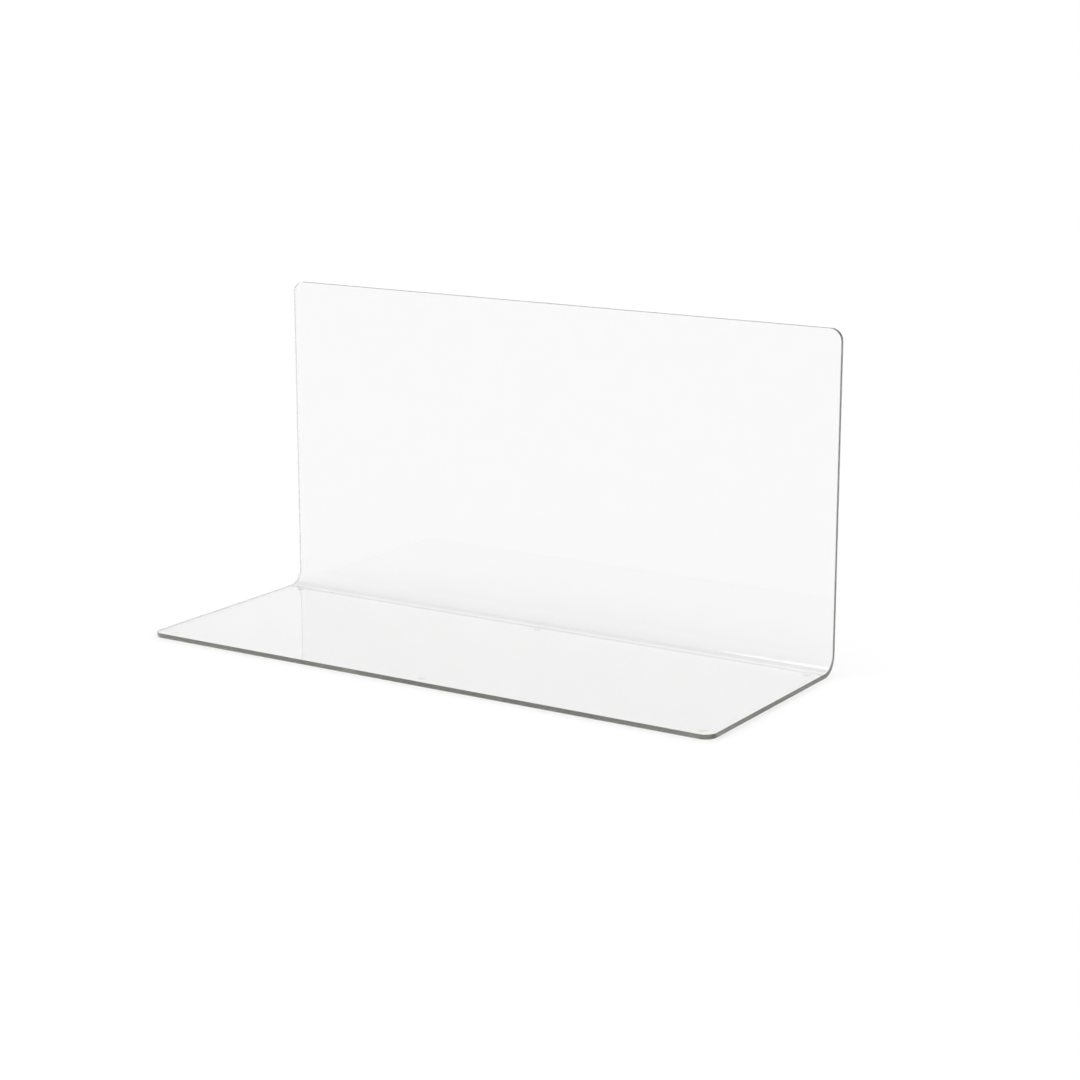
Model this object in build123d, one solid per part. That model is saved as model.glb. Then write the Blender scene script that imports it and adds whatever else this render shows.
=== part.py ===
from build123d import *
import os

# Free-standing desk screen: one clear acrylic sheet, bent once into an L, on anti-slip pads.
# Frame: +X to the right along the desk, +Y towards the back, +Z up. The origin is on the
# desk, below the middle of the screen's footprint. The upright stands at the back.

# Driving dimensions, in millimetres
SHEET_WIDTH = 850.0
SHEET_HEIGHT = 442.0  # top of the upright above the underside of the foot
SHEET_DEPTH = 328.0  # front of the foot to the back of the upright
SHEET_THICKNESS = 6.0
BEND_INNER_RADIUS = 22.0
BEND_OUTER_RADIUS = 25.0  # tighter than inner radius plus thickness, so the heel is a little thicker
CORNER_RADIUS = 16.0
POLISHED_EDGE_RADIUS = 0.6

PAD_DIAMETER = 10.0
PAD_THICKNESS = 1.0
PAD_RIM_RADIUS = 0.4
PAD_SIDE_INSET = 22.0  # side edge of the sheet to the centre of a pad
PAD_FRONT_INSET = 22.0  # front edge of the sheet to the centre of a front pad
PAD_BEND_GAP = 4.0  # outer end of the bend to the rim of a back pad

LENGTH_SLACK = 0.01  # how closely an edge's length must match to be picked by it

# Places that follow from the driving dimensions
FRONT_Y = -SHEET_DEPTH / 2
BACK_Y = SHEET_DEPTH / 2
UNDERSIDE_Z = PAD_THICKNESS
TOP_Z = UNDERSIDE_Z + SHEET_HEIGHT


def sheet_section():
    """The sheet seen from its end: the foot, a quarter bend and the upright."""
    outer_corner = (BACK_Y, UNDERSIDE_Z)
    inner_corner = (BACK_Y - SHEET_THICKNESS, UNDERSIDE_Z + SHEET_THICKNESS)
    with BuildSketch(Plane.YZ) as section:
        with BuildLine():
            FilletPolyline((FRONT_Y, UNDERSIDE_Z), outer_corner, (BACK_Y, TOP_Z), radius=BEND_OUTER_RADIUS)
            Line((BACK_Y, TOP_Z), (inner_corner[0], TOP_Z))
            FilletPolyline(
                (inner_corner[0], TOP_Z), inner_corner, (FRONT_Y, inner_corner[1]), radius=BEND_INNER_RADIUS
            )
            Line((FRONT_Y, inner_corner[1]), (FRONT_Y, UNDERSIDE_Z))
        make_face()
    return section.sketch


def has_length(edge, length):
    return abs(edge.length - length) < LENGTH_SLACK


def free_corners(sheet):
    """The four short edges through the thickness, at the upright's top and at the foot's front."""
    return [edge for edge in sheet.edges() if has_length(edge, SHEET_THICKNESS)]


def outline_edges(sheet):
    """The edges that run round the sheet's outline, without those through its thickness or across the bend."""
    return [
        edge
        for edge in sheet.edges()
        if not has_length(edge, SHEET_THICKNESS) and not has_length(edge, SHEET_WIDTH)
    ]


def make_screen_sheet():
    """The whole bent sheet, with rounded corners and a polished, slightly rounded edge all round."""
    sheet = extrude(sheet_section(), amount=SHEET_WIDTH / 2, both=True)
    sheet = fillet(free_corners(sheet), radius=CORNER_RADIUS)
    return fillet(outline_edges(sheet), radius=POLISHED_EDGE_RADIUS)


def make_pad(x, y):
    """A low anti-slip disc, stuck flat to the foot's underside, with its lower rim rounded."""
    disc = Cylinder(PAD_DIAMETER / 2, PAD_THICKNESS, align=(Align.CENTER, Align.CENTER, Align.MIN))
    lower_rim = disc.edges().filter_by(GeomType.CIRCLE).sort_by(Axis.Z)[0]
    return Pos(x, y, 0) * fillet(lower_rim, radius=PAD_RIM_RADIUS)


def pad_places():
    """The node name and the centre of each pad: three along the foot's front and three by the bend."""
    side_x = SHEET_WIDTH / 2 - PAD_SIDE_INSET
    rows = {
        "front": FRONT_Y + PAD_FRONT_INSET,
        "back": BACK_Y - BEND_OUTER_RADIUS - PAD_BEND_GAP - PAD_DIAMETER / 2,
    }
    columns = {"left": -side_x, "middle": 0.0, "right": side_x}
    return {f"pad_{row}_{column}": (x, y) for row, y in rows.items() for column, x in columns.items()}


def main():
    parts = {"screen_sheet": make_screen_sheet()}
    for name, (x, y) in pad_places().items():
        parts[name] = make_pad(x, y)

    os.makedirs("parts", exist_ok=True)
    for name, shape in parts.items():
        export_step(shape, f"parts/{name}.step")


main()
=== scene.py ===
import math

import bpy
from mathutils import Matrix, Vector


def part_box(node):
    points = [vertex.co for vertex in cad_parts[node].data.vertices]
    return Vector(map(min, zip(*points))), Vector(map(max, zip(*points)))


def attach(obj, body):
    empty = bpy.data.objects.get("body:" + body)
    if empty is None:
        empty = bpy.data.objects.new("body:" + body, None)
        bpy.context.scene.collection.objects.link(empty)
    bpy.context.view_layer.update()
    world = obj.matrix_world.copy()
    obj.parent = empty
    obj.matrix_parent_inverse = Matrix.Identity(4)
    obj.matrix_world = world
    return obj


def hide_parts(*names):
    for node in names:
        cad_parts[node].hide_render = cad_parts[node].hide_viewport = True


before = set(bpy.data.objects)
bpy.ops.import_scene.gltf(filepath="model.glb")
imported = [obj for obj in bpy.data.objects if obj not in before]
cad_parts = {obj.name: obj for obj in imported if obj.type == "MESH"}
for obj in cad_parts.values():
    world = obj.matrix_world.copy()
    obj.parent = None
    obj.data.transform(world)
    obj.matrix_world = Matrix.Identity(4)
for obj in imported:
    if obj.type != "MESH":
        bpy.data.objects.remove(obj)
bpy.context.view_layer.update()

# Free-standing desk screen: one clear acrylic sheet, bent once into an L, on six anti-slip
# pads. All lengths are in metres.

# The sheet. Its outer sizes come from the frame.
SHEET_LOW, SHEET_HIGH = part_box("screen_sheet")
THICKNESS = 0.006
BEND_INNER_RADIUS = 0.022
BEND_OUTER_RADIUS = 0.025
CORNER_RADIUS = 0.016
EDGE_RADIUS = 0.0006

# Places on the sheet, and lengths along its inner face
HALF_WIDTH = (SHEET_HIGH.x - SHEET_LOW.x) / 2
STRAIGHT_HALF_WIDTH = HALF_WIDTH - CORNER_RADIUS
INNER_Y = SHEET_HIGH.y - THICKNESS
INNER_Z = SHEET_LOW.z + THICKNESS
FOOT_LENGTH = INNER_Y - BEND_INNER_RADIUS - SHEET_LOW.y
BEND_LENGTH = BEND_INNER_RADIUS * math.pi / 2
UPRIGHT_LENGTH = SHEET_HIGH.z - INNER_Z - BEND_INNER_RADIUS
BEND_END = FOOT_LENGTH + BEND_LENGTH
SHEET_LENGTH = BEND_END + UPRIGHT_LENGTH

# How finely the sheet's mesh is cut
CORNER_STEPS = 20
BEND_STEPS = 48
FOOT_STEPS = 10
UPRIGHT_STEPS = 14
WIDTH_STEPS = 24
EDGE_STEPS = 6

# The pads. The gap keeps their faces off the sheet's and the desk's.
PAD_GAP = 0.00002
PAD_TOP_RIM = 0.0001
PAD_RIM = 0.0004
PAD_HOLLOW = 0.0001
PAD_LAND_SHARE = 0.82  # of the radius, from which the lower face slopes into the hollow
PAD_HOLLOW_SHARE = 0.6  # of the radius, inside which the hollow is flat
PAD_SEGMENTS = 64
PAD_TOP_RINGS = 4
PAD_RIM_STEPS = 6
PAD_SLOPE_STEPS = 6
PAD_HOLLOW_RINGS = (0.66, 0.33)  # of the hollow's flat radius

# Clear acrylic. The edge share is 0 on the faces and 1 on the cut edge, where the base colour is
# darkened as painted shade.
ACRYLIC_IOR = 1.49
EDGE_SHARE = "edge_share"
FACE_TINT = 0.935
# The cut edge's grey is painted shade, darker than the faces' tint.
EDGE_PAINTED_SHADE = 0.55
EDGE_SHADE_START = 0.2
EDGE_SHADE_END = 0.8
ABSORPTION_COLOUR = (0.5, 0.5, 0.43, 1)
ABSORPTION_DENSITY = 1.8
EDGE_ROUGHNESS = 0.2

# Its surface detail: the heights of the bumps, and the sizes of the features
HEATED_MARGIN = 0.012  # how far the ripples reach past the bend
CAST_WAVE = 0.00001
WAVE_SIZE = 0.07
BEND_RIPPLE = 0.00004
RIPPLE_SIZE = 0.03
RIPPLE_SCALES = (1, 3, 3)
POLISH_LINE = 0.000001
POLISH_SIZE = 0.0006
POLISH_SCALES = (0.04, 1, 1)
POLISH_SCALES_SIDE = (1, 0.04, 0.04)
HAIR_ROUGHNESS = 0.08
HAIR_SIZE = 0.0015
HAIR_SCALES = (0.05, 1, 0.3)
HAIR_SCALES_ACROSS = (1, 0.2, 0.06)
HAIR_START = 0.74
HAIR_END = 0.8
WIPED_SIZE = 0.12
WIPED_START = 0.5
WIPED_END = 0.8

# Milky soft plastic
PAD_COLOUR = (0.93, 0.93, 0.925, 1)
PAD_IOR = 1.45
PAD_TRANSMISSION = 0.3
PEBBLE_HEIGHT = 0.000003
PEBBLE_SIZE = 0.0003
CLOUD_SIZE = 0.0015
CLOUD_START = 0.3
CLOUD_END = 0.7
PAD_ROUGHNESS_LOW = 0.35
PAD_ROUGHNESS_HIGH = 0.5

# How much detail the noises have
PLAIN = 2.0
FINE = 3.0
FINEST = 4.0

FLOOR_RADIUS = 60.0
FLOOR_SIDES = 96
FLOOR_COLOUR = (0.9, 0.9, 0.9, 1)

# The studio's light: white up to the sweep's elevation, and dim from the ceiling's
SWEEP_ELEVATION = math.radians(30)
CEILING_ELEVATION = math.radians(55)
CEILING_STRENGTH = 0.1
FRONT_DIMMING = 0.2  # how much of the ceiling's dimming reaches the front half
BEHIND_START = 0.0  # where the front half passes into the back, as the direction's Y
BEHIND_END = 0.05
SUN_ENERGY = 1.35
SUN_ANGLE = math.radians(54)

# The camera: its direction, and its place along, right of and above the line to the origin
CAMERA_AZIMUTH = math.radians(32.366)
CAMERA_ELEVATION = math.radians(13.351)
CAMERA_BACK = 3.2470
CAMERA_RIGHT = 0.0729
CAMERA_UP = 0.1506
CAMERA_LENS = 82.87
CAMERA_SENSOR = 36
CAMERA_CLIP = (0.1, 200)

# Light goes far inside the sheet before it leaves by a cut edge
CLEAR_BOUNCES = 160
DIFFUSE_BOUNCES = 8


def around_bend(corner_y, corner_z, straight, radius, share):
    """A point on one face in the bend: a straight run in, a quarter turn and a straight run
    out, at a share of the whole way. Also the face's direction there, as an angle from level."""
    arc = radius * math.pi / 2
    way = share * (2 * straight + arc)
    turn = min(max(way - straight, 0), arc) / radius
    before = min(way, straight) - straight
    after = max(way - straight - arc, 0)
    y = corner_y - radius + radius * math.sin(turn) + before
    z = corner_z + radius - radius * math.cos(turn) + after
    return Vector((0, y, z)), turn


def along_sheet(s):
    """The sheet's section at s along its inner face, from the foot's front edge to the
    upright's top: the inner face's point and outward normal, and the outer face's, at x = 0."""
    if s <= FOOT_LENGTH:
        y = SHEET_LOW.y + s
        inner, inner_normal = Vector((0, y, INNER_Z)), Vector((0, 0, 1))
        outer, outer_normal = Vector((0, y, SHEET_LOW.z)), Vector((0, 0, -1))
    elif s >= BEND_END:
        z = INNER_Z + BEND_INNER_RADIUS + s - FOOT_LENGTH - BEND_LENGTH
        inner, inner_normal = Vector((0, INNER_Y, z)), Vector((0, -1, 0))
        outer, outer_normal = Vector((0, SHEET_HIGH.y, z)), Vector((0, 1, 0))
    else:
        share = (s - FOOT_LENGTH) / BEND_LENGTH
        straight = THICKNESS + BEND_INNER_RADIUS - BEND_OUTER_RADIUS
        inner, turn_in = around_bend(INNER_Y, INNER_Z, 0, BEND_INNER_RADIUS, share)
        outer, turn_out = around_bend(
            SHEET_HIGH.y, SHEET_LOW.z, straight, BEND_OUTER_RADIUS, share
        )
        inner_normal = Vector((0, -math.sin(turn_in), math.cos(turn_in)))
        outer_normal = Vector((0, math.sin(turn_out), -math.cos(turn_out)))
    return inner, inner_normal, outer, outer_normal


def steps(start, end, count):
    return [start + (end - start) * i / count for i in range(count + 1)]


def side_outline():
    """The right-hand outline of the flat sheet, front to top: (x, s, outward x, outward s) at
    each row."""
    front = [
        (
            STRAIGHT_HALF_WIDTH + CORNER_RADIUS * math.sin(a),
            CORNER_RADIUS * (1 - math.cos(a)),
            math.sin(a),
            -math.cos(a),
        )
        for a in steps(0, math.pi / 2, CORNER_STEPS)
    ]
    top = [(x, SHEET_LENGTH - s, out_x, -out_s) for x, s, out_x, out_s in reversed(front)]
    between = (
        steps(CORNER_RADIUS, FOOT_LENGTH, FOOT_STEPS)[1:-1]
        + steps(FOOT_LENGTH, BEND_END, BEND_STEPS)
        + steps(BEND_END, SHEET_LENGTH - CORNER_RADIUS, UPRIGHT_STEPS)[1:-1]
    )
    return front + [(HALF_WIDTH, s, 1.0, 0.0) for s in between] + top


def edge_section():
    """Across the rounded edge, from the inner face to the outer one: (inset, depth below that
    face, share of the normal that points out of the edge, whether on the outer face's half)."""
    inner = [
        (
            EDGE_RADIUS * (1 - math.sin(a)),
            EDGE_RADIUS * (1 - math.cos(a)),
            math.sin(a),
            False,
        )
        for a in steps(0, math.pi / 2, EDGE_STEPS)
    ]
    outer = [(inset, depth, out, True) for inset, depth, out, _ in reversed(inner)]
    return inner + outer


class SheetMesh:
    """Collects the sheet's vertices, their exact normals and edge shares, and its faces."""

    def __init__(self):
        self.points, self.normals, self.edge_shares, self.faces = [], [], [], []

    def add(self, x, s, depth, outer, outward=Vector((0, 0, 0)), out_share=0.0):
        """A vertex below the inner or the outer face. Near an edge its normal leans outward."""
        section = along_sheet(s)
        point, normal = section[2:] if outer else section[:2]
        level_share = math.sqrt(max(1 - out_share ** 2, 0))
        self.points.append(point - normal * depth + Vector((x, 0, 0)))
        self.normals.append((normal * level_share + outward * out_share).normalized())
        self.edge_shares.append(out_share)
        return len(self.points) - 1

    def edge_points(self, x, s, out_x, out_s):
        """The vertices across the edge at one point of the outline."""
        made = []
        for inset, depth, out_share, outer in edge_section():
            place = s - inset * out_s
            forward = along_sheet(place)[1].cross(Vector((1, 0, 0)))
            outward = Vector((out_x, 0, 0)) + forward * out_s
            made.append(self.add(x - inset * out_x, place, depth, outer, outward, out_share))
        return made


def strip_faces(low, high):
    """The faces between two rows across the sheet. Where one row has two points more than the
    other, triangles join its ends."""
    strip = []
    if len(low) < len(high):
        strip += [(low[0], high[1], high[0]), (low[-1], high[-1], high[-2])]
        high = high[1:-1]
    elif len(low) > len(high):
        strip += [(low[0], low[1], high[0]), (low[-2], low[-1], high[-1])]
        low = low[1:-1]
    return strip + [
        (low[c], low[c + 1], high[c + 1], high[c]) for c in range(len(low) - 1)
    ]


def build_sheet():
    """The whole sheet as one closed mesh: both faces in rows across the width, and the edge
    all round."""
    mesh = SheetMesh()
    side = side_outline()
    columns = steps(-STRAIGHT_HALF_WIDTH, STRAIGHT_HALF_WIDTH, WIDTH_STEPS)

    right = [mesh.edge_points(*row) for row in side]
    left = [mesh.edge_points(-x, s, -out_x, out_s) for x, s, out_x, out_s in side]
    front = [mesh.edge_points(x, 0, 0, -1) for x in columns[1:-1]]
    front = [left[0]] + front + [right[0]]
    top = [mesh.edge_points(x, SHEET_LENGTH, 0, 1) for x in columns[1:-1]]
    top = [left[-1]] + top + [right[-1]]

    outline = front[:-1] + right[:-1] + top[:0:-1] + left[:0:-1]
    for here, after in zip(outline, outline[1:] + outline[:1]):
        for k in range(len(here) - 1):
            mesh.faces.append((here[k], here[k + 1], after[k + 1], after[k]))

    for end, outer in ((0, False), (-1, True)):
        rows = [[ring[end] for ring in front]]
        for (_, s, _, out_s), left_ring, right_ring in zip(side[1:-1], left[1:-1], right[1:-1]):
            place = s - EDGE_RADIUS * out_s
            middle = [mesh.add(x, place, 0, outer) for x in columns]
            rows.append([left_ring[end]] + middle + [right_ring[end]])
        rows.append([ring[end] for ring in top])
        for low, high in zip(rows, rows[1:]):
            mesh.faces += [f[::-1] if outer else f for f in strip_faces(low, high)]
    return mesh


def to_object(name, points, faces, normals=None):
    data = bpy.data.meshes.new(name)
    data.from_pydata([tuple(p) for p in points], [], faces)
    data.validate()
    for polygon in data.polygons:
        polygon.use_smooth = True
    if normals is not None:
        data.normals_split_custom_set_from_vertices([tuple(n) for n in normals])
    made = bpy.data.objects.new(name, data)
    bpy.context.scene.collection.objects.link(made)
    return made


class Graph:
    """A node tree, with short ways to add nodes to it."""

    def __init__(self, tree):
        self.nodes, self.links = tree.nodes, tree.links

    def feed(self, socket, value):
        if isinstance(value, bpy.types.NodeSocket):
            self.links.new(value, socket)
        else:
            socket.default_value = value

    def math(self, operation, first, second=0.0, third=0.0):
        node = self.nodes.new("ShaderNodeMath")
        node.operation = operation
        for socket, value in zip(node.inputs, (first, second, third)):
            self.feed(socket, value)
        return node.outputs[0]

    def ramp(self, value, low, high, start=0.0, end=1.0):
        """Goes smoothly from start to end while the value goes from low to high."""
        node = self.nodes.new("ShaderNodeMapRange")
        node.interpolation_type = "SMOOTHSTEP"
        for socket, given in zip(node.inputs, (value, low, high, start, end)):
            self.feed(socket, given)
        return node.outputs["Result"]

    def split(self, vector):
        node = self.nodes.new("ShaderNodeSeparateXYZ")
        self.links.new(vector, node.inputs[0])
        return node.outputs


class Shader(Graph):
    """A Principled material."""

    def __init__(self, name):
        self.material = bpy.data.materials.new(name)
        self.material.use_nodes = True
        super().__init__(self.material.node_tree)
        self.inputs = self.nodes["Principled BSDF"].inputs
        self.place = self.nodes.new("ShaderNodeTexCoord").outputs["Object"]

    def stretched(self, scales):
        node = self.nodes.new("ShaderNodeMapping")
        node.inputs["Scale"].default_value = scales
        self.links.new(self.place, node.inputs["Vector"])
        return node.outputs["Vector"]

    def noise(self, vector, size, detail=PLAIN):
        """Noise of about the given feature size, before any stretching."""
        node = self.nodes.new("ShaderNodeTexNoise")
        node.inputs["Scale"].default_value = 1 / size
        node.inputs["Detail"].default_value = detail
        self.links.new(vector, node.inputs["Vector"])
        return node.outputs["Fac"]

    def bump(self, height):
        """Bumps of the given height, in metres, all over the material."""
        node = self.nodes.new("ShaderNodeBump")
        node.inputs["Distance"].default_value = 1.0
        self.links.new(height, node.inputs["Height"])
        self.links.new(node.outputs["Normal"], self.inputs["Normal"])


def clear_acrylic():
    """Cast acrylic: flat faces that wave a little and carry hairlines from wiping, a cut edge
    polished along its length and darkened with painted shade, and a bend where the heated strip
    is slightly uneven."""
    made = Shader("clear_acrylic")
    made.inputs["IOR"].default_value = ACRYLIC_IOR
    made.inputs["Transmission Weight"].default_value = 1.0
    absorb = made.nodes.new("ShaderNodeVolumeAbsorption")
    absorb.inputs["Color"].default_value = ABSORPTION_COLOUR
    absorb.inputs["Density"].default_value = ABSORPTION_DENSITY
    made.links.new(absorb.outputs["Volume"], made.nodes["Material Output"].inputs["Volume"])

    attribute = made.nodes.new("ShaderNodeAttribute")
    attribute.attribute_name = EDGE_SHARE
    edge = attribute.outputs["Fac"]
    # Painted shade: the base colour grows darker towards the cut edge, in place of the shade the
    # edge shows.
    tint_and_edge_shade = made.ramp(edge, EDGE_SHADE_START, EDGE_SHADE_END, FACE_TINT, EDGE_PAINTED_SHADE)
    made.links.new(tint_and_edge_shade, made.inputs["Base Color"])

    place = made.split(made.place)
    from_upright = made.math("SUBTRACT", INNER_Y, place["Y"])
    from_foot = made.math("SUBTRACT", place["Z"], INNER_Z)
    from_bend = made.math("MAXIMUM", from_upright, from_foot)
    heated = made.ramp(
        from_bend, BEND_INNER_RADIUS, BEND_INNER_RADIUS + HEATED_MARGIN, 1.0, 0.0
    )

    wave = made.math("MULTIPLY", made.noise(made.place, WAVE_SIZE), CAST_WAVE)
    ripple = made.noise(made.stretched(RIPPLE_SCALES), RIPPLE_SIZE)
    ripple = made.math("MULTIPLY", made.math("MULTIPLY", ripple, heated), BEND_RIPPLE)
    line = made.noise(made.stretched(POLISH_SCALES), POLISH_SIZE, FINE)
    line_side = made.noise(made.stretched(POLISH_SCALES_SIDE), POLISH_SIZE, FINE)
    polish = made.math("MULTIPLY", made.math("ADD", line, line_side), edge)
    polish = made.math("MULTIPLY", polish, POLISH_LINE)
    made.bump(made.math("ADD", made.math("ADD", wave, ripple), polish))

    hair = made.noise(made.stretched(HAIR_SCALES), HAIR_SIZE, FINEST)
    hair_across = made.noise(made.stretched(HAIR_SCALES_ACROSS), HAIR_SIZE, FINEST)
    hair = made.math("MAXIMUM", hair, hair_across)
    hair = made.ramp(hair, HAIR_START, HAIR_END, 0.0, HAIR_ROUGHNESS)
    wiped = made.ramp(made.noise(made.place, WIPED_SIZE, FINE), WIPED_START, WIPED_END)
    hair = made.math("MULTIPLY", hair, wiped)
    rough = made.math("MULTIPLY_ADD", edge, EDGE_ROUGHNESS, hair)
    made.links.new(rough, made.inputs["Roughness"])
    return made.material


def frosted_pad():
    """Milky soft plastic with a satin, faintly pebbled surface."""
    made = Shader("frosted_pad")
    made.inputs["Base Color"].default_value = PAD_COLOUR
    made.inputs["IOR"].default_value = PAD_IOR
    made.inputs["Transmission Weight"].default_value = PAD_TRANSMISSION
    pebble = made.noise(made.place, PEBBLE_SIZE, FINE)
    made.bump(made.math("MULTIPLY", pebble, PEBBLE_HEIGHT))
    cloud = made.noise(made.place, CLOUD_SIZE)
    rough = made.ramp(cloud, CLOUD_START, CLOUD_END, PAD_ROUGHNESS_LOW, PAD_ROUGHNESS_HIGH)
    made.links.new(rough, made.inputs["Roughness"])
    return made.material


def ease(share):
    return share * share * (3 - 2 * share)


def pad_profile(low, high):
    """Half the pad's section, from near the middle of its upper face round to near the middle
    of its lower one: a small upper rim, a rounded lower rim and a shallow hollow underneath."""
    radius = (high.x - low.x) / 2
    top, bottom = high.z - PAD_GAP, low.z + PAD_GAP
    flat = radius - PAD_TOP_RIM
    land, hollow = radius * PAD_LAND_SHARE, radius * PAD_HOLLOW_SHARE
    turns = steps(0, math.pi / 2, PAD_RIM_STEPS)

    profile = [(share * flat, top) for share in steps(0, 1, PAD_TOP_RINGS)[1:]]
    profile += [
        (flat + PAD_TOP_RIM * math.sin(a), top - PAD_TOP_RIM + PAD_TOP_RIM * math.cos(a))
        for a in turns[1:]
    ]
    profile += [
        (radius - PAD_RIM + PAD_RIM * math.cos(a), bottom + PAD_RIM - PAD_RIM * math.sin(a))
        for a in turns
    ]
    profile += [
        (r, bottom + PAD_HOLLOW * ease(1 - (r - hollow) / (land - hollow)))
        for r in steps(land, hollow, PAD_SLOPE_STEPS)
    ]
    return profile + [(hollow * share, bottom + PAD_HOLLOW) for share in PAD_HOLLOW_RINGS]


def build_pad(name, material):
    """A lathed anti-slip disc in the place of its CAD node."""
    low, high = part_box(name)
    middle = (low + high) / 2
    profile = pad_profile(low, high)
    points = [
        Vector((middle.x + r * math.cos(turn), middle.y + r * math.sin(turn), z))
        for turn in steps(0, 2 * math.pi, PAD_SEGMENTS)[:-1]
        for r, z in profile
    ]
    count = len(profile)
    top, bottom = len(points), len(points) + 1
    points += [
        Vector((middle.x, middle.y, high.z - PAD_GAP)),
        Vector((middle.x, middle.y, low.z + PAD_GAP + PAD_HOLLOW)),
    ]
    faces = []
    for i in range(PAD_SEGMENTS):
        here, after = i * count, (i + 1) % PAD_SEGMENTS * count
        faces.append((top, here, after))
        faces += [
            (here + k, here + k + 1, after + k + 1, after + k) for k in range(count - 1)
        ]
        faces.append((here + count - 1, bottom, after + count - 1))
    pad = to_object("detailed_" + name, points, faces)
    pad.data.materials.append(material)
    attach(pad, "root")
    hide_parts(name)


def make_sheet():
    mesh = build_sheet()
    sheet = to_object("sheet", mesh.points, mesh.faces, mesh.normals)
    shares = sheet.data.attributes.new(EDGE_SHARE, "FLOAT", "POINT")
    shares.data.foreach_set("value", mesh.edge_shares)
    sheet.data.materials.append(clear_acrylic())
    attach(sheet, "root")
    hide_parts("screen_sheet")


def make_pads():
    material = frosted_pad()
    for name in sorted(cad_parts):
        if name.startswith("pad"):
            build_pad(name, material)


def make_floor():
    data = bpy.data.meshes.new("floor")
    turns = [2 * math.pi * i / FLOOR_SIDES for i in range(FLOOR_SIDES)]
    ring = [(FLOOR_RADIUS * math.cos(a), FLOOR_RADIUS * math.sin(a), 0) for a in turns]
    data.from_pydata(ring, [], [tuple(range(FLOOR_SIDES))])
    floor = bpy.data.objects.new("floor", data)
    bpy.context.scene.collection.objects.link(floor)
    material = bpy.data.materials.new("floor_white")
    material.use_nodes = True
    inputs = material.node_tree.nodes["Principled BSDF"].inputs
    inputs["Base Color"].default_value = FLOOR_COLOUR
    inputs["Roughness"].default_value = 1.0
    inputs["Specular IOR Level"].default_value = 0.0
    data.materials.append(material)


def make_world():
    """White round the horizon. Overhead it is dim behind the screen, and a little less than
    white in front of it."""
    world = bpy.data.worlds.new("studio")
    world.use_nodes = True
    bpy.context.scene.world = world
    graph = Graph(world.node_tree)
    direction = graph.split(graph.nodes.new("ShaderNodeTexCoord").outputs["Generated"])
    above = graph.ramp(
        direction["Z"], math.sin(SWEEP_ELEVATION), math.sin(CEILING_ELEVATION)
    )
    behind = graph.ramp(direction["Y"], BEHIND_START, BEHIND_END, FRONT_DIMMING, 1.0)
    dimming = graph.math("MULTIPLY", above, behind)
    dimming = graph.math("MULTIPLY", dimming, 1 - CEILING_STRENGTH)
    background = graph.nodes["Background"].inputs
    background["Color"].default_value = (1, 1, 1, 1)
    graph.links.new(graph.math("SUBTRACT", 1.0, dimming), background["Strength"])


def make_lights():
    """A broad soft light straight overhead."""
    sun = bpy.data.lights.new("overhead", "SUN")
    sun.energy = SUN_ENERGY
    sun.angle = SUN_ANGLE
    bpy.context.scene.collection.objects.link(bpy.data.objects.new("overhead", sun))


def make_camera():
    level = math.cos(CAMERA_ELEVATION)
    back = Vector((
        math.sin(CAMERA_AZIMUTH) * level,
        -math.cos(CAMERA_AZIMUTH) * level,
        math.sin(CAMERA_ELEVATION),
    ))
    right = Vector((math.cos(CAMERA_AZIMUTH), math.sin(CAMERA_AZIMUTH), 0))
    up = back.cross(right)
    place = back * CAMERA_BACK + right * CAMERA_RIGHT + up * CAMERA_UP
    data = bpy.data.cameras.new("camera")
    data.lens = CAMERA_LENS
    data.sensor_width = CAMERA_SENSOR
    data.clip_start, data.clip_end = CAMERA_CLIP
    camera = bpy.data.objects.new("camera", data)
    bpy.context.scene.collection.objects.link(camera)
    camera.matrix_world = Matrix((
        (right.x, up.x, back.x, place.x),
        (right.y, up.y, back.y, place.y),
        (right.z, up.z, back.z, place.z),
        (0, 0, 0, 1),
    ))
    bpy.context.scene.camera = camera


make_sheet()
make_pads()
make_floor()
make_world()
make_lights()
make_camera()

scene = bpy.context.scene
scene.view_settings.view_transform = "Standard"
scene.cycles.max_bounces = CLEAR_BOUNCES
scene.cycles.transmission_bounces = CLEAR_BOUNCES
scene.cycles.glossy_bounces = CLEAR_BOUNCES
scene.cycles.diffuse_bounces = DIFFUSE_BOUNCES
scene.cycles.blur_glossy = 0.0
